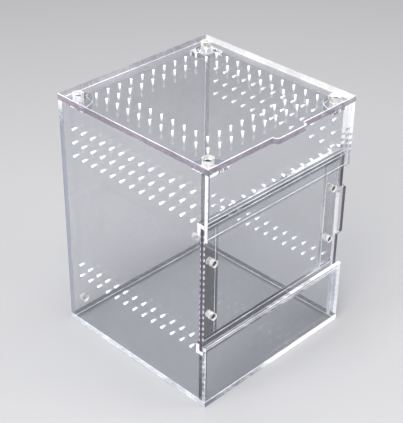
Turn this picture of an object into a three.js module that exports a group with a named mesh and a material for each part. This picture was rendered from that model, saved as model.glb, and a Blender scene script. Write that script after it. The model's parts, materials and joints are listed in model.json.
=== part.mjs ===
// Clear acrylic enclosure for insects: a five-sided box with a drilled lift-off lid on magnets
// and a sliding front door that runs in two channels and is held shut by magnets.
// Millimetres, +Z up. The origin is the middle of the underside of the base, the door faces -Y.

import * as THREE from 'three';
import { mergeVertices } from 'three/addons/utils/BufferGeometryUtils.js';

// ---- driving dimensions ----
const WIDTH = 150; // outside, along X and along Y
const HEIGHT = 200; // outside, lid included
const WALL = 5; // side walls, back wall, base, lid and gussets
const SHEET = 3; // front panels, door, channel strips and magnet strips
const DOOR_PLAY = 0.25; // free space in front of and behind the door
const DOOR_LIFT = 0.3; // free space under and over the door

const HALF = WIDTH / 2;
const LID_UNDERSIDE = HEIGHT - WALL;
const INNER = HALF - WALL; // inside face of the side walls and the back wall

// layers of the front, from outside to inside
const FRONT_FACE = -HALF;
const FRONT_BACK = FRONT_FACE + SHEET;
const GROOVE_BACK = FRONT_BACK + SHEET + 2 * DOOR_PLAY;
const REAR_STRIP_BACK = GROOVE_BACK + SHEET;

// heights of the two door channels
const LOWER_CHANNEL_BOTTOM = 46.8;
const LOWER_CHANNEL_TOP = 55.5;
const UPPER_CHANNEL_BOTTOM = 146.3;
const UPPER_CHANNEL_TOP = 156;
const UPPER_PANEL_BOTTOM = 143.5;
const DOOR_BOTTOM = LOWER_CHANNEL_BOTTOM + SHEET + DOOR_LIFT;
const DOOR_TOP = UPPER_CHANNEL_TOP - SHEET - DOOR_LIFT;

// door and lid
const DOOR_LEFT = -75;
const DOOR_RIGHT = 72.5;
const TAB_CORNER = 3; // outer corner radius of the finger tabs
const DOOR_TAB_REACH = 5;
const DOOR_TAB_BOTTOM = 81;
const DOOR_TAB_TOP = 124;
const LID_TAB_REACH = 4;
const LID_TAB_LEFT = -14;
const LID_TAB_RIGHT = 18;

// magnets: 8 mm discs hold the lid, 5 mm discs hold the door and stand in the back wall
const LARGE_MAGNET_RADIUS = 4;
const SMALL_MAGNET_RADIUS = 2.5;
const MAGNET_THICK = 2;
const MAGNET_PLAY = 0.1; // free space round a magnet in its hole
const LID_MAGNET = 64.7; // from the middle, along X and along Y
const DOOR_MAGNET_LEFT = -63.5;
const DOOR_MAGNET_RIGHT = 63;
const LEFT_MAGNET_HEIGHTS = [75, 120];
const RIGHT_MAGNET_HEIGHTS = [81, 126];
const BACK_MAGNET = 63; // from the middle, along X
const BACK_MAGNET_HEIGHT = 15;
const MAGNET_STRIP_WIDTH = 13;
const GUSSET_RADIUS = 18;

// ventilation holes
const VENT_RADIUS = 1;
const VENT_SIDES = 6;
const WALL_VENT_PITCH = 10;
const WALL_VENT_REACH = 60;
const WALL_VENT_HEIGHTS = [48.5, 58.5, 154.5, 165.5, 176.5];
const PANEL_VENT_HEIGHT = 165;
const LID_VENT_PITCH = 11.1;
const LID_VENT_RINGS = [5, 4]; // rings of the lid's holes, in pitches from the middle

// smoothness of round outlines
const ROUND_SIDES = 20;
const GUSSET_STEPS = 10;
const CORNER_STEPS = 3;

// ---- outline helpers ----
function arc(centreX, centreY, radius, from, to, steps) {
  const points = [];
  for (let i = 0; i <= steps; i += 1) {
    const angle = from + ((to - from) * i) / steps;
    points.push(new THREE.Vector2(
      centreX + radius * Math.cos(angle),
      centreY + radius * Math.sin(angle),
    ));
  }
  return points;
}

function polygon(centreX, centreY, radius, sides) {
  return arc(centreX, centreY, radius, 0, 2 * Math.PI, sides).slice(0, sides);
}

function rectangle(left, bottom, right, top) {
  return [[left, bottom], [right, bottom], [right, top], [left, top]].map(
    ([x, y]) => new THREE.Vector2(x, y),
  );
}

// the outer corners of a finger tab that stands proud towards +X of its own outline
function tabCorners(edge, reach, bottom, top) {
  const centre = edge + reach - TAB_CORNER;
  return [
    new THREE.Vector2(edge, bottom),
    ...arc(centre, bottom + TAB_CORNER, TAB_CORNER, -Math.PI / 2, 0, CORNER_STEPS),
    ...arc(centre, top - TAB_CORNER, TAB_CORNER, 0, Math.PI / 2, CORNER_STEPS),
    new THREE.Vector2(edge, top),
  ];
}

// ---- sheets: an outline with holes, given a thickness ----
const LYING = new THREE.Matrix4(); // outline in X and Y, thickness up
const FACING_SIDE = new THREE.Matrix4().makeBasis( // outline in Y and Z, thickness along +X
  new THREE.Vector3(0, 1, 0),
  new THREE.Vector3(0, 0, 1),
  new THREE.Vector3(1, 0, 0),
);
const FACING_FRONT = new THREE.Matrix4().makeBasis( // outline in X and Z, thickness along -Y
  new THREE.Vector3(1, 0, 0),
  new THREE.Vector3(0, 0, 1),
  new THREE.Vector3(0, -1, 0),
);

const CLEAR = { color: 0xdfe3ea, roughness: 0.08, metalness: 0 };
const NICKEL = { color: 0xc9c9cc, roughness: 0.22, metalness: 1 };

const enclosure = new THREE.Group();

function addSheet(name, outline, holes, thickness, facing, place, finish) {
  const shape = new THREE.Shape(outline);
  shape.holes = holes.map((hole) => new THREE.Path(hole));
  const extruded = new THREE.ExtrudeGeometry(shape, { depth: thickness, bevelEnabled: false });
  extruded.deleteAttribute('normal');
  extruded.deleteAttribute('uv');
  const geometry = mergeVertices(extruded).applyMatrix4(facing);
  const mesh = new THREE.Mesh(geometry, new THREE.MeshStandardMaterial(finish));
  mesh.name = name;
  mesh.position.set(...place);
  enclosure.add(mesh);
}

const addLying = (name, outline, holes, thickness, bottom, finish = CLEAR) => {
  addSheet(name, outline, holes, thickness, LYING, [0, 0, bottom], finish);
};

const addSide = (name, outline, holes, thickness, left, finish = CLEAR) => {
  addSheet(name, outline, holes, thickness, FACING_SIDE, [left, 0, 0], finish);
};

const addFront = (name, outline, holes, thickness, back, finish = CLEAR) => {
  addSheet(name, outline, holes, thickness, FACING_FRONT, [0, back, 0], finish);
};

// ---- ventilation ----
function ventRow(reach, pitch, height) {
  const row = [];
  const steps = Math.round(reach / pitch);
  for (let i = -steps; i <= steps; i += 1) {
    row.push(polygon(i * pitch, height, VENT_RADIUS, VENT_SIDES));
  }
  return row;
}

function lidVents() {
  const vents = [];
  for (const ring of LID_VENT_RINGS) {
    for (let i = -ring; i <= ring; i += 1) {
      for (let j = -ring; j <= ring; j += 1) {
        if (Math.max(Math.abs(i), Math.abs(j)) === ring) {
          vents.push(polygon(i * LID_VENT_PITCH, j * LID_VENT_PITCH, VENT_RADIUS, VENT_SIDES));
        }
      }
    }
  }
  return vents;
}

// ---- magnets ----
const smallHole = (x, z) => polygon(x, z, SMALL_MAGNET_RADIUS + MAGNET_PLAY, ROUND_SIDES);
const largeHole = (x, y) => polygon(x, y, LARGE_MAGNET_RADIUS + MAGNET_PLAY, ROUND_SIDES);

function addSmallMagnet(name, x, z, back) {
  addFront(name, polygon(x, z, SMALL_MAGNET_RADIUS, ROUND_SIDES), [], MAGNET_THICK, back, NICKEL);
}

function addLargeMagnet(name, x, y, bottom) {
  addLying(name, polygon(x, y, LARGE_MAGNET_RADIUS, ROUND_SIDES), [], MAGNET_THICK, bottom, NICKEL);
}

// ---- fixed box ----
function addBase() {
  addLying('base_panel', rectangle(-HALF, -HALF, HALF, HALF), [], WALL, 0);
}

// a side wall stands behind the door's groove and is notched round both rear channel strips
function addSideWall(name, left) {
  const outline = [
    [GROOVE_BACK, WALL], [INNER, WALL], [INNER, LID_UNDERSIDE], [GROOVE_BACK, LID_UNDERSIDE],
    [GROOVE_BACK, UPPER_CHANNEL_TOP], [REAR_STRIP_BACK, UPPER_CHANNEL_TOP],
    [REAR_STRIP_BACK, UPPER_CHANNEL_BOTTOM], [GROOVE_BACK, UPPER_CHANNEL_BOTTOM],
    [GROOVE_BACK, LOWER_CHANNEL_TOP], [REAR_STRIP_BACK, LOWER_CHANNEL_TOP],
    [REAR_STRIP_BACK, LOWER_CHANNEL_BOTTOM], [GROOVE_BACK, LOWER_CHANNEL_BOTTOM],
  ].map(([y, z]) => new THREE.Vector2(y, z));
  const vents = WALL_VENT_HEIGHTS.flatMap(
    (height) => ventRow(WALL_VENT_REACH, WALL_VENT_PITCH, height),
  );
  addSide(name, outline, vents, WALL, left);
}

function addBackWall() {
  const holes = [-BACK_MAGNET, BACK_MAGNET].map((x) => smallHole(x, BACK_MAGNET_HEIGHT));
  addFront('back_wall', rectangle(-HALF, WALL, HALF, LID_UNDERSIDE), holes, WALL, HALF);
  addSmallMagnet('left_back_magnet', -BACK_MAGNET, BACK_MAGNET_HEIGHT, HALF);
  addSmallMagnet('right_back_magnet', BACK_MAGNET, BACK_MAGNET_HEIGHT, HALF);
}

function addFrontPanels() {
  addFront(
    'front_upper_panel',
    rectangle(-HALF, UPPER_PANEL_BOTTOM, HALF, LID_UNDERSIDE),
    ventRow(WALL_VENT_REACH, WALL_VENT_PITCH, PANEL_VENT_HEIGHT),
    SHEET,
    FRONT_BACK,
  );
  addFront(
    'front_lower_panel',
    rectangle(-HALF, WALL, HALF, LOWER_CHANNEL_TOP),
    [],
    SHEET,
    FRONT_BACK,
  );
}

// uprights that fill the door's layer between the front panels and the side walls
function addUprightSpacers() {
  const deep = GROOVE_BACK - FRONT_BACK;
  for (const [side, left] of [['left', -HALF], ['right', INNER]]) {
    const upper = rectangle(left, UPPER_CHANNEL_TOP, left + WALL, LID_UNDERSIDE);
    const lower = rectangle(left, WALL, left + WALL, LOWER_CHANNEL_BOTTOM);
    addFront(`${side}_upper_spacer`, upper, [], deep, GROOVE_BACK);
    addFront(`${side}_lower_spacer`, lower, [], deep, GROOVE_BACK);
  }
}

// each channel is a front panel's edge, a spacer bar and a rear strip
function addChannels() {
  const deep = GROOVE_BACK - FRONT_BACK;
  const bars = [
    ['upper_channel_spacer', UPPER_CHANNEL_TOP - SHEET, UPPER_CHANNEL_TOP, deep, GROOVE_BACK],
    ['upper_channel_rear_strip', UPPER_CHANNEL_BOTTOM, UPPER_CHANNEL_TOP, SHEET, REAR_STRIP_BACK],
    ['lower_channel_spacer', LOWER_CHANNEL_BOTTOM, LOWER_CHANNEL_BOTTOM + SHEET, deep, GROOVE_BACK],
    ['lower_channel_rear_strip', LOWER_CHANNEL_BOTTOM, LOWER_CHANNEL_TOP, SHEET, REAR_STRIP_BACK],
  ];
  for (const [name, bottom, top, thickness, back] of bars) {
    addFront(name, rectangle(-HALF, bottom, HALF, top), [], thickness, back);
  }
}

const DOOR_SIDES = [
  { side: 'left', x: DOOR_MAGNET_LEFT, heights: LEFT_MAGNET_HEIGHTS },
  { side: 'right', x: DOOR_MAGNET_RIGHT, heights: RIGHT_MAGNET_HEIGHTS },
];

// uprights beside the doorway, with the magnets that hold the door shut
function addMagnetStrips() {
  for (const { side, x, heights } of DOOR_SIDES) {
    const left = side === 'left' ? -INNER : INNER - MAGNET_STRIP_WIDTH;
    const right = left + MAGNET_STRIP_WIDTH;
    const outline = rectangle(left, LOWER_CHANNEL_TOP, right, UPPER_CHANNEL_BOTTOM);
    const holes = heights.map((z) => smallHole(x, z));
    addFront(`${side}_magnet_strip`, outline, holes, SHEET, REAR_STRIP_BACK);
    heights.forEach((z, i) => {
      addSmallMagnet(`${side}_strip_magnet_${i + 1}`, x, z, GROOVE_BACK + MAGNET_THICK);
    });
  }
}

// a quarter disc in each inside top corner carries a magnet under the lid's own
function addGussets() {
  const corners = [
    { name: 'front_left', x: -INNER, y: FRONT_BACK, start: 0 },
    { name: 'front_right', x: INNER, y: FRONT_BACK, start: Math.PI / 2 },
    { name: 'back_right', x: INNER, y: INNER, start: Math.PI },
    { name: 'back_left', x: -INNER, y: INNER, start: 1.5 * Math.PI },
  ];
  for (const { name, x, y, start } of corners) {
    const magnetX = Math.sign(x) * LID_MAGNET;
    const magnetY = Math.sign(y) * LID_MAGNET;
    const rim = arc(x, y, GUSSET_RADIUS, start, start + Math.PI / 2, GUSSET_STEPS);
    const outline = [new THREE.Vector2(x, y), ...rim];
    const holes = [largeHole(magnetX, magnetY)];
    addLying(`${name}_gusset`, outline, holes, WALL, LID_UNDERSIDE - WALL);
    addLargeMagnet(`${name}_gusset_magnet`, magnetX, magnetY, LID_UNDERSIDE - MAGNET_THICK);
    addLargeMagnet(`${name}_lid_magnet`, magnetX, magnetY, LID_UNDERSIDE);
  }
}

// ---- moving parts ----
function addDoor() {
  const outline = [
    new THREE.Vector2(DOOR_LEFT, DOOR_BOTTOM),
    new THREE.Vector2(DOOR_RIGHT, DOOR_BOTTOM),
    ...tabCorners(DOOR_RIGHT, DOOR_TAB_REACH, DOOR_TAB_BOTTOM, DOOR_TAB_TOP),
    new THREE.Vector2(DOOR_RIGHT, DOOR_TOP),
    new THREE.Vector2(DOOR_LEFT, DOOR_TOP),
  ];
  const back = GROOVE_BACK - DOOR_PLAY;
  const holes = DOOR_SIDES.flatMap(({ x, heights }) => heights.map((z) => smallHole(x, z)));
  addFront('door_panel', outline, holes, SHEET, back);
  for (const { side, x, heights } of DOOR_SIDES) {
    heights.forEach((z, i) => addSmallMagnet(`${side}_door_magnet_${i + 1}`, x, z, back));
  }
}

function addLid() {
  // the tab's outline is made standing proud towards +X and turned to stand proud towards -Y
  const tab = tabCorners(HALF, LID_TAB_REACH, LID_TAB_LEFT, LID_TAB_RIGHT).map(
    (point) => new THREE.Vector2(point.y, -point.x),
  );
  const outline = [
    new THREE.Vector2(-HALF, -HALF),
    ...tab,
    new THREE.Vector2(HALF, -HALF),
    new THREE.Vector2(HALF, HALF),
    new THREE.Vector2(-HALF, HALF),
  ];
  const holes = lidVents();
  for (const x of [-LID_MAGNET, LID_MAGNET]) {
    for (const y of [-LID_MAGNET, LID_MAGNET]) {
      holes.push(largeHole(x, y));
    }
  }
  addLying('lid_panel', outline, holes, WALL, LID_UNDERSIDE);
}

addBase();
addSideWall('left_wall', -HALF);
addSideWall('right_wall', INNER);
addBackWall();
addFrontPanels();
addUprightSpacers();
addChannels();
addMagnetStrips();
addGussets();
addDoor();
addLid();

export default enclosure;
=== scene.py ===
"""Looks for the clear acrylic enclosure: every sheet is rebuilt with smooth holes, broken edges and
clear faces, and every magnet as a plated disc. Metres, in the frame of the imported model."""

import json
import math

import bpy
from mathutils import Matrix, Vector
from mathutils.geometry import tessellate_polygon


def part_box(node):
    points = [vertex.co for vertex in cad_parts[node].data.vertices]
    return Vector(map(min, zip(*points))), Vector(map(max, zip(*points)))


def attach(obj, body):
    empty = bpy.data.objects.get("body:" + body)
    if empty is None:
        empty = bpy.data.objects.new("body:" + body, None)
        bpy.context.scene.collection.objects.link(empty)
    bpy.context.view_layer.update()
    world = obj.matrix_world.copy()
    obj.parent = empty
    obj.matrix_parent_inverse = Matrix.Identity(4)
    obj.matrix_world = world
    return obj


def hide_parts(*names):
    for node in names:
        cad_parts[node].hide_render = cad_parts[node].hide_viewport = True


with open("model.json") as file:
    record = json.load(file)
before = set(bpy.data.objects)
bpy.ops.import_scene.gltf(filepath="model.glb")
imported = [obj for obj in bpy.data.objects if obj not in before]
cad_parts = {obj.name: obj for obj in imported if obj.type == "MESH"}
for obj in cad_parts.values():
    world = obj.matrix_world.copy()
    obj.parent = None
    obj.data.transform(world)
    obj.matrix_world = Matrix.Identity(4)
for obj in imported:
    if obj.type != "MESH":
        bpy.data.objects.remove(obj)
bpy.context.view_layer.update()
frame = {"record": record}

MM = 0.001

# ---- what the sheets look like ----
EDGE_BREAK = 0.35 * MM  # width of the broken corner along every cut edge
VENT_BREAK = 0.05 * MM
MAGNET_HOLE_BREAK = 0.2 * MM
VENT_RADIUS = 0.9 * MM  # a circle about as large as the six-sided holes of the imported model
VENT_EXIT_RADIUS = 0.65 * MM  # a laser beam leaves a slightly narrower hole than it enters
VENT_SIDES = 20
MAGNET_PLAY = 0.1 * MM
MAGNET_HOLE_SIDES = 40
GLUE_FILM = 0.02 * MM  # each sheet stops this far inside its box, so no two faces coincide
TOUCHING = 0.05 * MM  # how near another sheet must be for an edge to count as closed by it
TINY = 0.001 * MM
MAGNET_SIDES = 40
MAGNET_BREAK = 0.6 * MM
MAGNET_BREAK_STEPS = 4
MAGNET_DISH = 0.04 * MM
MAGNET_HALF_DISH = 0.7  # the share of the radius where the dish is half as deep
ARC_STEPS = 20
TAB_CORNER = 3 * MM
TAB_CORNER_STEPS = 7
DOOR_TAB = (81 * MM, 124 * MM)
DOOR_TAB_REACH = 5 * MM
LID_TAB = (-14 * MM, 18 * MM)
LID_TAB_REACH = 4 * MM

# ---- where the holes are ----
WALL_VENT_HEIGHTS = [48.5 * MM, 58.5 * MM, 154.5 * MM, 165.5 * MM, 176.5 * MM]
WALL_VENT_PITCH = 10 * MM
WALL_VENT_STEPS = 6  # vents each side of the middle one
PANEL_VENT_HEIGHT = 165 * MM
LID_VENT_PITCH = 11.1 * MM
LID_VENT_RINGS = [5, 4]  # in pitches from the middle

# ---- camera ----
CAMERA_AIM = Vector((-0.0018, 0.0023, 0.1012))
CAMERA_AZIMUTH = math.radians(-45.59)
CAMERA_ELEVATION = math.radians(32.43)
CAMERA_DISTANCE = 0.855
CAMERA_ROLL = math.radians(0.70)
CAMERA_LENS = 96.2

# ---- studio ----
FLOOR_SIZE = 8
FLOOR_COLOUR = (0.52, 0.52, 0.535)
WORLD_COLOUR = (0.5, 0.5, 0.52)
WORLD_STRENGTH = 0.06
LIGHTS = [  # name, place, width of its square and power in watts
    ("key_softbox", (-1.0, -0.2, 1.4), 1.0, 22),
    ("fill_softbox", (0.9, -1.1, 1.1), 0.8, 9),
    ("top_softbox", (0.0, 0.0, 1.8), 1.4, 26),
]

# ---- how acrylic and its cut edges take light ----
ACRYLIC_IOR = 1.49
HEAD_ON_MIRROR = 0.04  # the share of light that acrylic mirrors straight on
PATCH_SHARE = 0.75  # of a cut edge's tone; the cutter's ridges make the rest
BAR_SCALE = 130.0  # painted bars of light a few millimetres apart
BAR_STRETCH = (0.6, 0.6, 1)

# the Mix node's sockets for two colours and their mix
COLOUR_A, COLOUR_B, COLOUR_OUT = 6, 7, 2

# material slots of a sheet
CLEAR, ARRIS, PAINTED_DIM_ARRIS, VENT, HOLE, GLUED, SEATED, BUSY, FIRST_CUT = range(9)
# material slots of a magnet
RIM, FLAT = range(2)


# ---- node helpers ----
def new_material(name):
    material = bpy.data.materials.new(name)
    material.use_nodes = True
    material.node_tree.nodes.clear()
    return material, material.node_tree


def add_node(tree, kind, **settings):
    node = tree.nodes.new(kind)
    for key, value in settings.items():
        setattr(node, key, value)
    return node


def math_node(tree, operation, first, second=None, clamp=False):
    node = add_node(tree, "ShaderNodeMath", operation=operation, use_clamp=clamp)
    for socket, value in zip(node.inputs, (first, second)):
        if isinstance(value, bpy.types.NodeSocket):
            tree.links.new(value, socket)
        elif value is not None:
            socket.default_value = value
    return node.outputs[0]


def ramp(tree, value, low, high, to_low, to_high):
    """The value moved from low..high to to_low..to_high, and held inside it."""
    node = add_node(tree, "ShaderNodeMapRange", clamp=True)
    tree.links.new(value, node.inputs["Value"])
    for name, number in zip(("From Min", "From Max", "To Min", "To Max"), (low, high, to_low, to_high)):
        node.inputs[name].default_value = number
    return node.outputs["Result"]


def object_coordinates(tree, stretch=(1, 1, 1)):
    coordinates = add_node(tree, "ShaderNodeTexCoord")
    mapping = add_node(tree, "ShaderNodeMapping")
    mapping.inputs["Scale"].default_value = stretch
    tree.links.new(coordinates.outputs["Object"], mapping.inputs["Vector"])
    return mapping.outputs["Vector"]


def noise(tree, vector, scale, detail=3.0, roughness=0.55):
    node = add_node(tree, "ShaderNodeTexNoise")
    node.inputs["Scale"].default_value = scale
    node.inputs["Detail"].default_value = detail
    node.inputs["Roughness"].default_value = roughness
    tree.links.new(vector, node.inputs["Vector"])
    return node.outputs["Fac"]


def mix_colours(tree, factor, first, second):
    node = add_node(tree, "ShaderNodeMix", data_type="RGBA")
    tree.links.new(factor, node.inputs["Factor"])
    node.inputs[COLOUR_A].default_value = (*first, 1)
    node.inputs[COLOUR_B].default_value = (*second, 1)
    return node.outputs[COLOUR_OUT]


def bump(tree, height, strength, distance):
    node = add_node(tree, "ShaderNodeBump")
    node.inputs["Strength"].default_value = strength
    node.inputs["Distance"].default_value = distance
    tree.links.new(height, node.inputs["Height"])
    return node.outputs["Normal"]


def mix_shaders(tree, factor, first, second):
    node = add_node(tree, "ShaderNodeMixShader")
    tree.links.new(factor, node.inputs[0])
    tree.links.new(first, node.inputs[1])
    tree.links.new(second, node.inputs[2])
    return node.outputs[0]


def output(tree, shader):
    node = add_node(tree, "ShaderNodeOutputMaterial")
    tree.links.new(shader, node.inputs["Surface"])


# ---- materials ----
def clear_face(name, tint, haze_low, haze_high):
    """A polished acrylic face: see-through, with a mirror film that grows towards grazing, faint
    waviness of the cast sheet, and a thin uneven haze of handling marks."""
    material, tree = new_material(name)
    place = object_coordinates(tree)
    wavy = noise(tree, place, scale=9.0, detail=2.0)
    smudges = noise(tree, place, scale=26.0, detail=5.0, roughness=0.6)
    upright = object_coordinates(tree, stretch=(1, 1, 14))
    scratches = noise(tree, upright, scale=120.0, detail=2.0)
    normal = bump(tree, wavy, strength=0.25, distance=0.6 * MM)

    clear = add_node(tree, "ShaderNodeBsdfTransparent")
    clear.inputs["Color"].default_value = (*tint, 1)

    gloss = add_node(tree, "ShaderNodeBsdfGlossy")
    gloss.inputs["Color"].default_value = (1, 1, 1, 1)
    tree.links.new(ramp(tree, smudges, 0.35, 0.75, 0.02, 0.11), gloss.inputs["Roughness"])
    tree.links.new(normal, gloss.inputs["Normal"])

    layer = add_node(tree, "ShaderNodeLayerWeight")
    layer.inputs["Blend"].default_value = 0.5
    grazing = math_node(tree, "POWER", layer.outputs["Facing"], 5.0)
    mirror = ramp(tree, grazing, 0.0, 1.0, HEAD_ON_MIRROR, 1.0)
    glazed = mix_shaders(tree, mirror, clear.outputs[0], gloss.outputs[0])

    film = add_node(tree, "ShaderNodeBsdfDiffuse")
    film.inputs["Color"].default_value = (0.93, 0.94, 1.0, 1)
    marks = math_node(tree, "MULTIPLY", smudges, scratches)
    haze = ramp(tree, marks, 0.12, 0.42, haze_low, haze_high)
    output(tree, mix_shaders(tree, haze, glazed, film.outputs[0]))
    return material


def cut_face(name, dark, light, cover, glow, painted_bar_strength=0.0, painted_light_drift=None, patch=42.0, spread=0.12):
    """A laser-cut edge with painted light: a painted glow (emission, glow sets how strong) stands in for the
    light it pipes from the whole sheet, so it shows brighter than its surroundings, in soft patches, with
    the fine ridges that the cutter leaves. cover is how far its dark and its light parts hide what is
    behind. The two arguments after glow set how strongly painted slanting bars of light repeat along it and
    how a painted brightening changes across the box; patch is how small its patches are, and spread how
    softly they pass from dark to light."""
    material, tree = new_material(name)
    place = object_coordinates(tree)
    patches = noise(tree, place, scale=patch, detail=3.0, roughness=0.6)
    ridges = noise(tree, place, scale=900.0, detail=2.0)
    tone = math_node(tree, "ADD", math_node(tree, "MULTIPLY", patches, PATCH_SHARE),
                     math_node(tree, "MULTIPLY", ridges, 1 - PATCH_SHARE))
    if painted_bar_strength:
        bars = math_node(tree, "MULTIPLY", painted_light_bars(tree), painted_bar_strength)
        tone = math_node(tree, "ADD", tone, bars)
    if painted_light_drift:
        tone = math_node(tree, "ADD", tone, painted_light_gradient(tree, place, *painted_light_drift))
    low, high = 0.5 - spread, 0.5 + spread
    shade = ramp(tree, tone, low, high, 0.0, 1.0)
    colour = mix_colours(tree, shade, dark, light)

    solid = add_node(tree, "ShaderNodeBsdfPrincipled")
    solid.inputs["IOR"].default_value = ACRYLIC_IOR
    solid.inputs["Emission Strength"].default_value = glow
    tree.links.new(colour, solid.inputs["Base Color"])
    tree.links.new(colour, solid.inputs["Emission Color"])
    tree.links.new(ramp(tree, ridges, 0.3, 0.7, 0.12, 0.34), solid.inputs["Roughness"])
    tree.links.new(bump(tree, ridges, strength=0.35, distance=0.1 * MM), solid.inputs["Normal"])

    clear = add_node(tree, "ShaderNodeBsdfTransparent")
    share = ramp(tree, tone, low, high, *cover)
    output(tree, mix_shaders(tree, share, clear.outputs[0], solid.outputs[0]))
    return material


def painted_light_gradient(tree, place, axis, slope, middle):
    """A painted brightening: a tone that changes by slope per metre along one axis and is 0 at middle,
    standing in for how the light falls across the box.
    """
    split = add_node(tree, "ShaderNodeSeparateXYZ")
    tree.links.new(place, split.inputs["Vector"])
    offset = math_node(tree, "SUBTRACT", split.outputs[axis], middle)
    return math_node(tree, "MULTIPLY", offset, slope)


def painted_light_bars(tree):
    """Painted bars of light, from -0.5 to 0.5, that cross every edge of the box on the slant."""
    node = add_node(tree, "ShaderNodeTexWave", wave_type="BANDS", bands_direction="DIAGONAL")
    node.inputs["Scale"].default_value = BAR_SCALE
    node.inputs["Distortion"].default_value = 1.2
    node.inputs["Detail"].default_value = 2.0
    node.inputs["Detail Scale"].default_value = 0.3
    tree.links.new(object_coordinates(tree, BAR_STRETCH), node.inputs["Vector"])
    return math_node(tree, "SUBTRACT", node.outputs["Fac"], 0.5)


def vent_wall(name):
    """The frosted wall of a vent, with a painted glow (emission) on top of its frost: bright where the beam
    entered, thinning out to clear where it left.
    """
    material, tree = new_material(name)
    frost = noise(tree, object_coordinates(tree), scale=1500.0, detail=3.0)
    solid = add_node(tree, "ShaderNodeBsdfPrincipled")
    solid.inputs["Emission Strength"].default_value = 0.6
    solid.inputs["Roughness"].default_value = 0.4
    colour = mix_colours(tree, frost, (0.88, 0.88, 0.9), (1.0, 1.0, 1.0))
    tree.links.new(colour, solid.inputs["Base Color"])
    tree.links.new(colour, solid.inputs["Emission Color"])
    tree.links.new(bump(tree, frost, strength=0.4, distance=0.1 * MM), solid.inputs["Normal"])
    depth = add_node(tree, "ShaderNodeAttribute", attribute_name="depth").outputs["Fac"]
    frosted_depth = math_node(tree, "ADD", depth, math_node(tree, "MULTIPLY", frost, 0.3))
    clear = add_node(tree, "ShaderNodeBsdfTransparent")
    share = ramp(tree, frosted_depth, 0.5, 1.1, 1.0, 0.12)
    output(tree, mix_shaders(tree, share, clear.outputs[0], solid.outputs[0]))
    return material


def plating(name, base, dull):
    """Nickel on a pressed magnet in the given colours, bright on the rim and painted dark on the faces: a
    mirror with slight dimples, dulled patches and fine wear.
    """
    material, tree = new_material(name)
    place = object_coordinates(tree)
    patches = noise(tree, place, scale=300.0, detail=4.0)
    grain = noise(tree, place, scale=2600.0, detail=2.0)
    metal = add_node(tree, "ShaderNodeBsdfPrincipled")
    metal.inputs["Metallic"].default_value = 1.0
    tree.links.new(mix_colours(tree, ramp(tree, patches, 0.4, 0.65, 0.0, 1.0), base, dull),
                   metal.inputs["Base Color"])
    tree.links.new(ramp(tree, patches, 0.35, 0.7, 0.14, 0.34), metal.inputs["Roughness"])
    tree.links.new(bump(tree, grain, strength=0.15, distance=0.05 * MM), metal.inputs["Normal"])
    output(tree, metal.outputs[0])
    return material


SHEET_TINT = (0.935, 0.94, 0.95)
WHITE = (1.0, 1.0, 1.0)

FACE = clear_face("acrylic_face", SHEET_TINT, haze_low=0.0, haze_high=0.03)
# painted highlight: the broken corners of the cut edges glow white, with painted slanting bars of light
# along them
PAINTED_ARRIS_HIGHLIGHT = cut_face("acrylic_arris_painted_highlight", (0.7, 0.7, 0.78), WHITE, (0.55, 1.0), 0.5, painted_bar_strength=0.06)
# painted shade: a dim copy of that line, for edges whose broken corners are shown unlit
PAINTED_DIM_ARRIS_LOOK = cut_face("acrylic_arris_painted_dim", (0.2, 0.18, 0.24), (0.6, 0.58, 0.66), (0.3, 0.8), 0.05)
VENT_WALL = vent_wall("acrylic_vent")
# painted glow: the frosted walls of the magnet holes emit light on top of their real frost, so they show
# bright
HOLE_WALL = cut_face("acrylic_hole", (0.6, 0.57, 0.55), WHITE, (0.6, 1.0), 0.35, patch=200.0)
GLUED_JOINT = cut_face("acrylic_glued", (0.3, 0.32, 0.38), (0.5, 0.53, 0.62), (0.03, 0.12), 0.0)
SEATED_EDGE = cut_face("acrylic_seated", (0.4, 0.4, 0.46), (0.7, 0.7, 0.76), (0.06, 0.25), 0.0)
# painted glow: the gusset joints emit light, standing in for the light they scatter
GUSSET_JOINT_PAINTED_GLOW = cut_face("acrylic_busy_painted_glow", (0.03, 0.02, 0.04), WHITE, (0.6, 1.0), 0.7, patch=230.0, spread=0.04)
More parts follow.
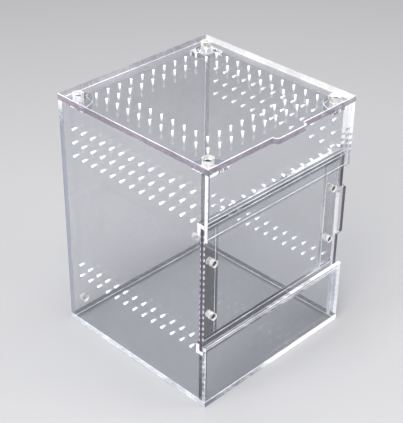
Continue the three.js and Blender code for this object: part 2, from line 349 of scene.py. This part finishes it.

# Each painted look of a cut edge, a lit or shaded copy of the same clear edge: dark tone, light tone, cover
# and painted glow, and then the painted bars of light that repeat in it or the painted brightening that
# changes in it. A painted brightening is the axis, the change per metre along it and the place where it is
# 0.
ALONG_X, ALONG_Z = 0, 2
PAINTED_CUT_LOOKS = {
    "white": cut_face("acrylic_cut_white", (0.8, 0.8, 0.86), WHITE, (0.85, 1.0), 0.5, painted_bar_strength=0.1),
    "roped": cut_face("acrylic_cut_roped", (0.16, 0.18, 0.25), WHITE, (0.6, 1.0), 0.45, painted_bar_strength=0.02,
                      painted_light_drift=(ALONG_X, 3.5, -0.03), patch=12.0),
    "mottled": cut_face("acrylic_cut_mottled", (0.2, 0.23, 0.32), (0.9, 0.93, 1.0), (0.5, 1.0), 0.2,
                        painted_bar_strength=0.06, patch=190.0),
    "beaded": cut_face("acrylic_cut_beaded", (0.16, 0.17, 0.2), WHITE, (0.4, 1.0), 0.45, painted_bar_strength=0.55),
    "capped": cut_face("acrylic_cut_capped", (0.2, 0.2, 0.23), WHITE, (0.4, 1.0), 0.45, painted_bar_strength=0.3,
                       painted_light_drift=(ALONG_Z, 14.0, 0.158)),
    "crowned": cut_face("acrylic_cut_crowned", (0.28, 0.31, 0.4), WHITE, (0.75, 1.0), 0.2,
                        painted_light_drift=(ALONG_Z, 14.0, 0.186)),
    "cream": cut_face("acrylic_cut_cream", (0.8, 0.78, 0.76), (0.97, 0.96, 0.93), (0.9, 1.0), 0.35),
    "thin_cream": cut_face("acrylic_cut_thin", (0.4, 0.39, 0.4), (0.8, 0.79, 0.76), (0.35, 0.8), 0.15),
    "pale": cut_face("acrylic_cut_pale", (0.6, 0.63, 0.72), (0.95, 0.96, 1.0), (0.75, 0.97), 0.3,
                     painted_bar_strength=0.03),
    "rising": cut_face("acrylic_cut_rising", (0.16, 0.16, 0.2), WHITE, (0.4, 1.0), 0.3, painted_bar_strength=0.05,
                       painted_light_drift=(ALONG_X, 2.6, 0.02)),
    "lavender": cut_face("acrylic_cut_lavender", (0.26, 0.24, 0.34), WHITE, (0.5, 1.0), 0.3, painted_bar_strength=0.05,
                         painted_light_drift=(ALONG_X, 2.6, 0.01)),
    "falling": cut_face("acrylic_cut_falling", (0.22, 0.2, 0.26), WHITE, (0.55, 1.0), 0.4, painted_bar_strength=0.1,
                        painted_light_drift=(ALONG_Z, -12.0, 0.122)),
    "lilac": cut_face("acrylic_cut_lilac", (0.25, 0.2, 0.27), (0.45, 0.39, 0.47), (0.7, 0.9), 0.03),
    "light_lilac": cut_face("acrylic_cut_light", (0.38, 0.34, 0.4), (0.72, 0.68, 0.72), (0.6, 0.9), 0.1),
    "blue": cut_face("acrylic_cut_blue", (0.24, 0.27, 0.36), (0.5, 0.54, 0.64), (0.5, 0.85), 0.05,
                     painted_bar_strength=0.08),
    "navy": cut_face("acrylic_cut_navy", (0.02, 0.025, 0.05), (0.7, 0.74, 0.82), (0.5, 0.9), 0.1,
                     painted_bar_strength=0.05, painted_light_drift=(ALONG_X, 3.0, 0.055)),
    "grey": cut_face("acrylic_cut_grey", (0.09, 0.09, 0.12), (0.26, 0.26, 0.31), (0.45, 0.8), 0.0,
                     painted_bar_strength=0.1),
    "purple": cut_face("acrylic_cut_purple", (0.07, 0.045, 0.09), (0.15, 0.1, 0.19), (0.93, 1.0), 0.0),
    "faint": cut_face("acrylic_cut_faint", (0.1, 0.11, 0.14), (0.4, 0.42, 0.5), (0.12, 0.4), 0.0),
}
PAINTED_CUT_LOOK_NAMES = list(PAINTED_CUT_LOOKS)
PAINTED_DIM_ARRIS_KINDS = ("purple", "grey", "crowned", "beaded")  # kinds whose broken corners get the dim painted line in place of the painted highlight
SHEET_MATERIALS = [  # in the order of the material slots
    FACE, PAINTED_ARRIS_HIGHLIGHT, PAINTED_DIM_ARRIS_LOOK, VENT_WALL, HOLE_WALL, GLUED_JOINT, SEATED_EDGE, GUSSET_JOINT_PAINTED_GLOW, *PAINTED_CUT_LOOKS.values(),
]

# The painted light and shade of each sheet's edges, by the way the edge faces, so one clear edge gets lit
# and shaded copies; "" is for every other way.
PAINTED_EDGE_LIGHT_BY_FACING = {
    "base_panel": {"": "pale", "-y": "roped", "+y": "blue", "+x": "blue"},
    "back_wall": {"": "crowned", "+x": "faint"},
    "left_wall": {"": "grey", "-y": "beaded"},
    "right_wall": {"": "pale", "-y": "falling"},
    "front_upper_panel": {"": "white", "-z": "faint", "+x": "capped"},
    "front_lower_panel": {"": "white", "-x": "mottled", "+z": "rising"},
    "left_upper_spacer": {"": "grey"},
    "left_lower_spacer": {"": "grey"},
    "right_upper_spacer": {"": "capped"},
    "right_lower_spacer": {"": "pale"},
    "upper_channel_spacer": {"": "faint", "-x": "white", "+x": "white"},
    "upper_channel_rear_strip": {"": "grey", "+z": "rising", "-x": "white", "+x": "white"},
    "lower_channel_spacer": {"": "faint", "-z": "lavender", "-x": "white", "+x": "white"},
    "lower_channel_rear_strip": {"": "faint", "+z": "navy", "-x": "white", "+x": "white"},
    "left_magnet_strip": {"": "faint"},
    "right_magnet_strip": {"": "faint", "-x": "thin_cream"},
    "gusset": {"": "faint"},
    "door_panel": {"": "purple", "+z": "faint", "-z": "faint"},
    "lid_panel": {"": "lilac", "+x": "cream", "+y": "light_lilac"},
}
NICKEL_RIM = plating("nickel_rim", (0.95, 0.93, 0.89), (0.7, 0.69, 0.66))
# painted shade: the magnet faces get a dark copy of the nickel in place of the dark reflection they show
NICKEL_FACE_PAINTED_DARK = plating("nickel_face_painted_dark", (0.07, 0.068, 0.065), (0.16, 0.155, 0.15))


# ---- outlines ----
def arc(x, y, radius, start, end, steps):
    turn = (end - start) / steps
    return [
        (x + radius * math.cos(start + i * turn), y + radius * math.sin(start + i * turn))
        for i in range(steps + 1)
    ]


def circle(x, y, radius, sides):
    return arc(x, y, radius, 0, 2 * math.pi, sides)[:-1]


def rectangle(left, bottom, right, top):
    return [(left, bottom), (right, bottom), (right, top), (left, top)]


def area(loop):
    pairs = zip(loop, loop[1:] + loop[:1])
    return sum(x0 * y1 - x1 * y0 for (x0, y0), (x1, y1) in pairs) / 2


def shifted_inwards(loop, distance):
    """The loop moved into the material on its left by distance, corners mitred."""
    made = []
    for i, point in enumerate(loop):
        here = Vector(point)
        before = (here - Vector(loop[i - 1])).normalized()
        after = (Vector(loop[(i + 1) % len(loop)]) - here).normalized()
        normal_before = Vector((-before.y, before.x))
        normal_after = Vector((-after.y, after.x))
        middle = (normal_before + normal_after).normalized()
        made.append(tuple(here + middle * (distance / middle.dot(normal_before))))
    return made


# ---- sheets ----
BODY_OF = {
    node: body
    for body, nodes in frame["record"]["behaviour"]["bodies"].items()
    for node in nodes
}
MAGNETS = [node for node in sorted(BODY_OF) if "magnet" in node and not node.endswith("strip")]
SHEET_BOXES = {node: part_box(node) for node in sorted(BODY_OF) if node not in MAGNETS}
ENTERED_FROM_NEAR = ("left_wall", "right_wall")  # the beam entered their -X faces
LYING = Matrix(((1, 0, 0), (0, 1, 0), (0, 0, 1)))
FACING_SIDE = Matrix(((0, 0, 1), (1, 0, 0), (0, 1, 0)))
FACING_FRONT = Matrix(((1, 0, 0), (0, 0, -1), (0, 1, 0)))


def painted_edge_look(node, normal):
    """The name of the painted light and shade look for an edge of this sheet that faces along normal."""
    key = "gusset" if node.endswith("gusset") else node
    axis = max(range(3), key=lambda i: abs(normal[i]))
    facing = ("-" if normal[axis] < 0 else "+") + "xyz"[axis]
    return PAINTED_EDGE_LIGHT_BY_FACING[key].get(facing, PAINTED_EDGE_LIGHT_BY_FACING[key][""])


def closing_slot(node, point):
    """GLUED or SEATED if another sheet lies against this point just outside an edge, else None."""
    for other, (low, high) in SHEET_BOXES.items():
        inside = all(low[i] < point[i] < high[i] for i in range(3))
        if inside and other != node:
            return GLUED if BODY_OF[other] == BODY_OF[node] else SEATED
    return None


def loft(rings):
    """Quads between each ring of vertex numbers and the next."""
    for lower, upper in zip(rings, rings[1:]):
        for i in range(len(lower)):
            j = (i + 1) % len(lower)
            yield lower[i], lower[j], upper[j], upper[i]


def sheet(node, facing, outline, vents=(), holes=()):
    """A sheet that replaces a CAD node. outline, vents and holes are in the sheet's own plane; its
    thickness and its place along the third direction come from the node's box. Every loop gets a
    narrow broken corner on both faces, and vents narrow on their way through."""
    low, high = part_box(node)
    entered_from_near = node in ENTERED_FROM_NEAR
    across = facing @ Vector((0, 0, 1))
    near, far = sorted((low.dot(across), high.dot(across)))
    near, far = near + GLUE_FILM, far - GLUE_FILM
    if area(outline) < 0:
        outline = outline[::-1]
    loops = [(shifted_inwards(outline, GLUE_FILM), EDGE_BREAK, None)]
    loops += [(vent, VENT_BREAK, VENT) for vent in vents]
    loops += [(hole, MAGNET_HOLE_BREAK, HOLE) for hole in holes]

    vertices, depths, faces, slots, caps, rings = [], [], [], [], [], []
    for loop, width, slot in loops:
        if slot is not None and area(loop) > 0:
            loop = loop[::-1]
        entry_wall = loop
        exit_wall = narrowed(loop) if slot == VENT else loop
        if entered_from_near:
            entry_wall, exit_wall = exit_wall, entry_wall
        near_cap, far_cap = (shifted_inwards(w, width) for w in (exit_wall, entry_wall))
        caps.append((near_cap, far_cap))
        levels = ((near_cap, near), (exit_wall, near + width), (entry_wall, far - width), (far_cap, far))
        ring = []
        for points, level in levels:
            ring.append(range(len(vertices), len(vertices) + len(points)))
            vertices += [facing @ Vector((x, y, level)) for x, y in points]
            share = (far - level) / (far - near)
            depths += [1 - share if entered_from_near else share] * len(points)
        rings.append(ring)
        for quad in loft(ring):
            corners = [vertices[i] for i in quad]
            faces.append(quad)
            broken = on_broken_corner(facing, corners, near, far)
            if slot is None:
                slots.append(edge_slot(node, facing, corners, broken))
            else:
                # the broken corners of magnet holes get the painted highlight too
                slots.append(ARRIS if broken and slot == HOLE else slot)

    for level, side in ((0, 0), (-1, 1)):  # the near cap, then the far one
        index = [i for ring in rings for i in ring[level]]
        flat = [[Vector((x, y, 0)) for x, y in cap[side]] for cap in caps]
        points = [point for loop in flat for point in loop]
        for triangle in tessellate_polygon(flat):
            a, b, c = (points[i] for i in triangle)
            anticlockwise = (b - a).cross(c - a).z > 0
            corners = [index[i] for i in triangle]
            faces.append(corners if anticlockwise == (side == 1) else corners[::-1])
            slots.append(CLEAR)

    mesh = bpy.data.meshes.new(node + "_look")
    mesh.from_pydata(vertices, [], faces)
    for material in SHEET_MATERIALS:
        mesh.materials.append(material)
    mesh.polygons.foreach_set("material_index", slots)
    depth = mesh.attributes.new("depth", "FLOAT", "POINT")
    depth.data.foreach_set("value", depths)
    mesh.update()
    add_piece(node, mesh)


def narrowed(loop):
    """A vent's outline where the laser beam left the sheet."""
    middle = sum((Vector(point) for point in loop), Vector((0, 0))) / len(loop)
    return [tuple(middle + (Vector(p) - middle) * (VENT_EXIT_RADIUS / VENT_RADIUS)) for p in loop]


def on_broken_corner(facing, corners, near, far):
    across = facing @ Vector((0, 0, 1))
    levels = [corner.dot(across) for corner in corners]
    return min(levels) - near < TINY or far - max(levels) < TINY


def edge_slot(node, facing, corners, broken):
    """The material slot for one face of a sheet's edge: its broken corners get a painted highlight, or a dim
    painted line, and what another sheet covers almost vanishes, except at a gusset's joints, which get a
    painted glow in place of the light they scatter."""
    outward = (corners[1] - corners[0]).cross(facing @ Vector((0, 0, 1))).normalized()
    closed = closing_slot(node, (corners[0] + corners[2]) / 2 + outward * (TOUCHING + EDGE_BREAK / 2))
    if closed is not None:
        return BUSY if node.endswith("gusset") else closed
    kind = painted_edge_look(node, outward)
    if broken:
        return PAINTED_DIM_ARRIS if kind in PAINTED_DIM_ARRIS_KINDS else ARRIS
    return FIRST_CUT + PAINTED_CUT_LOOK_NAMES.index(kind)


def add_piece(node, mesh):
    piece = bpy.data.objects.new(node + "_look", mesh)
    bpy.context.scene.collection.objects.link(piece)
    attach(piece, BODY_OF[node])
    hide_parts(node)


def magnet(node):
    """A plated disc with a turned, broken rim and a very slight dish in both faces."""
    low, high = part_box(node)
    size = high - low
    axis = min(range(3), key=lambda i: size[i])
    facing = {1: FACING_FRONT, 2: LYING}[axis]
    middle = (low + high) / 2
    half = size[axis] / 2
    radius = max(size) / 2
    rim = arc(radius - MAGNET_BREAK, half - MAGNET_BREAK, MAGNET_BREAK, 0, math.pi / 2,
              MAGNET_BREAK_STEPS)
    upper_half = [*rim, (radius * MAGNET_HALF_DISH, half - MAGNET_DISH / 2), (0, half - MAGNET_DISH)]
    profile = [(r, -level) for r, level in reversed(upper_half)] + upper_half
    vertices, faces, slots, rings = [], [], [], []
    for r, level in profile:
        count = 1 if r == 0 else MAGNET_SIDES
        rings.append(range(len(vertices), len(vertices) + count))
        for x, y in circle(0, 0, r, count):
            vertices.append(middle + facing @ Vector((x, y, level)))
    for (r, _), (next_r, _), lower, upper in zip(profile, profile[1:], rings, rings[1:]):
        slot = FLAT if max(r, next_r) < radius - MAGNET_BREAK + TINY else RIM
        for i in range(MAGNET_SIDES):
            j = (i + 1) % MAGNET_SIDES
            corners = [lower[i % len(lower)], lower[j % len(lower)],
                       upper[j % len(upper)], upper[i % len(upper)]]
            faces.append(list(dict.fromkeys(corners)))
            slots.append(slot)
    mesh = bpy.data.meshes.new(node + "_look")
    mesh.from_pydata(vertices, [], faces)
    mesh.materials.append(NICKEL_RIM)
    mesh.materials.append(NICKEL_FACE_PAINTED_DARK)
    mesh.polygons.foreach_set("material_index", slots)
    mesh.update()
    add_piece(node, mesh)


# ---- the parts ----
def vent(x, y):
    return circle(x, y, VENT_RADIUS, VENT_SIDES)


def vent_row(height):
    steps = range(-WALL_VENT_STEPS, WALL_VENT_STEPS + 1)
    return [vent(i * WALL_VENT_PITCH, height) for i in steps]


def magnet_hole(node, first, second):
    low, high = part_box(node)
    middle = (low + high) / 2
    radius = (high[first] - low[first]) / 2 + MAGNET_PLAY
    return circle(middle[first], middle[second], radius, MAGNET_HOLE_SIDES)


def box_outline(node, first, second):
    low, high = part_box(node)
    return rectangle(low[first], low[second], high[first], high[second])


def make_box():
    sheet("base_panel", LYING, box_outline("base_panel", 0, 1))
    holes = [magnet_hole(f"{side}_back_magnet", 0, 2) for side in ("left", "right")]
    sheet("back_wall", FACING_FRONT, box_outline("back_wall", 0, 2), holes=holes)
    strip_low, strip_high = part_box("lower_channel_rear_strip")
    top_low, top_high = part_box("upper_channel_rear_strip")
    for node in ("left_wall", "right_wall"):
        low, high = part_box(node)
        outline = [
            (low.y, low.z), (high.y, low.z), (high.y, high.z), (low.y, high.z),
            (low.y, top_high.z), (top_high.y, top_high.z),
            (top_high.y, top_low.z), (low.y, top_low.z),
            (low.y, strip_high.z), (strip_high.y, strip_high.z),
            (strip_high.y, strip_low.z), (low.y, strip_low.z),
        ]
        vents = [hole for height in WALL_VENT_HEIGHTS for hole in vent_row(height)]
        sheet(node, FACING_SIDE, outline, vents)


def make_front():
    upper = "front_upper_panel"
    sheet(upper, FACING_FRONT, box_outline(upper, 0, 2), vent_row(PANEL_VENT_HEIGHT))
    lower = "front_lower_panel"
    sheet(lower, FACING_FRONT, box_outline(lower, 0, 2))
    for side in ("left", "right"):
        for level in ("upper", "lower"):
            node = f"{side}_{level}_spacer"
            sheet(node, FACING_FRONT, box_outline(node, 0, 2))
    for level in ("upper", "lower"):
        for part in ("spacer", "rear_strip"):
            node = f"{level}_channel_{part}"
            sheet(node, FACING_FRONT, box_outline(node, 0, 2))
    for side in ("left", "right"):
        node = f"{side}_magnet_strip"
        holes = [magnet_hole(f"{side}_strip_magnet_{i}", 0, 2) for i in (1, 2)]
        sheet(node, FACING_FRONT, box_outline(node, 0, 2), holes=holes)


def make_gussets():
    for name, start in (("front_left", 0), ("front_right", 1), ("back_right", 2), ("back_left", 3)):
        node = name + "_gusset"
        low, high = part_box(node)
        x = low.x if start in (0, 3) else high.x
        y = low.y if start in (0, 1) else high.y
        turn = start * math.pi / 2
        outline = [(x, y)] + arc(x, y, high.x - low.x, turn, turn + math.pi / 2, ARC_STEPS)
        sheet(node, LYING, outline, holes=[magnet_hole(node + "_magnet", 0, 1)])


def tab(edge, reach, bottom, top):
    """Points of a finger tab that stands proud from edge to reach, between bottom and top."""
    centre = reach - TAB_CORNER
    quarter = math.pi / 2
    return [
        (edge, bottom),
        *arc(centre, bottom + TAB_CORNER, TAB_CORNER, -quarter, 0, TAB_CORNER_STEPS),
        *arc(centre, top - TAB_CORNER, TAB_CORNER, 0, quarter, TAB_CORNER_STEPS),
        (edge, top),
    ]


def make_door():
    low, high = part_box("door_panel")
    right = high.x - DOOR_TAB_REACH
    tab_points = tab(right, high.x, *DOOR_TAB)
    outline = [(low.x, low.z), (right, low.z), *tab_points, (right, high.z), (low.x, high.z)]
    names = [f"{side}_door_magnet_{i}" for side in ("left", "right") for i in (1, 2)]
    sheet("door_panel", FACING_FRONT, outline, holes=[magnet_hole(n, 0, 2) for n in names])


def make_lid():
    low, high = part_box("lid_panel")
    front = low.y + LID_TAB_REACH
    tab_points = [(y, -x) for x, y in tab(-front, -low.y, *LID_TAB)]
    outline = [(low.x, front), *tab_points, (high.x, front), (high.x, high.y), (low.x, high.y)]
    vents = []
    for ring in LID_VENT_RINGS:
        for i in range(-ring, ring + 1):
            for j in range(-ring, ring + 1):
                if max(abs(i), abs(j)) == ring:
                    vents.append(vent(i * LID_VENT_PITCH, j * LID_VENT_PITCH))
    corners = ("front_left", "front_right", "back_right", "back_left")
    holes = [magnet_hole(f"{corner}_lid_magnet", 0, 1) for corner in corners]
    sheet("lid_panel", LYING, outline, vents, holes)


def make_magnets():
    for node in MAGNETS:
        magnet(node)


# ---- floor, lights and camera ----
def make_floor():
    material, tree = new_material("floor_paper")
    paper = add_node(tree, "ShaderNodeBsdfPrincipled")
    paper.inputs["Base Color"].default_value = (*FLOOR_COLOUR, 1)
    paper.inputs["Roughness"].default_value = 0.9
    output(tree, paper.outputs[0])
    bpy.ops.mesh.primitive_plane_add(size=FLOOR_SIZE, location=(0, 0, 0))
    floor = bpy.context.object
    floor.name = "studio_floor"
    floor.data.materials.append(material)


def make_light(name, place, width, power):
    data = bpy.data.lights.new(name, "AREA")
    data.shape = "SQUARE"
    data.size = width
    data.energy = power
    lamp = bpy.data.objects.new(name, data)
    lamp.location = place
    lamp.rotation_euler = (CAMERA_AIM - Vector(place)).to_track_quat("-Z", "Y").to_euler()
    bpy.context.scene.collection.objects.link(lamp)


def make_studio():
    make_floor()
    for light in LIGHTS:
        make_light(*light)
    world = bpy.data.worlds.new("studio")
    world.use_nodes = True
    background = world.node_tree.nodes["Background"]
    background.inputs["Color"].default_value = (*WORLD_COLOUR, 1)
    background.inputs["Strength"].default_value = WORLD_STRENGTH
    bpy.context.scene.world = world
    bpy.context.scene.view_settings.view_transform = "Standard"


def make_camera():
    flat = math.cos(CAMERA_ELEVATION)
    back = Vector((
        math.sin(CAMERA_AZIMUTH) * flat,
        -math.cos(CAMERA_AZIMUTH) * flat,
        math.sin(CAMERA_ELEVATION),
    ))
    right = Vector((0, 0, 1)).cross(back).normalized()
    turn = Matrix((right, back.cross(right), back)).transposed() @ Matrix.Rotation(CAMERA_ROLL, 3, "Z")
    data = bpy.data.cameras.new("camera")
    data.lens = CAMERA_LENS
    camera = bpy.data.objects.new("camera", data)
    camera.matrix_world = Matrix.LocRotScale(CAMERA_AIM + back * CAMERA_DISTANCE, turn.to_quaternion(), None)
    bpy.context.scene.collection.objects.link(camera)
    bpy.context.scene.camera = camera


make_box()
make_front()
make_gussets()
make_door()
make_lid()
make_magnets()
make_studio()
make_camera()
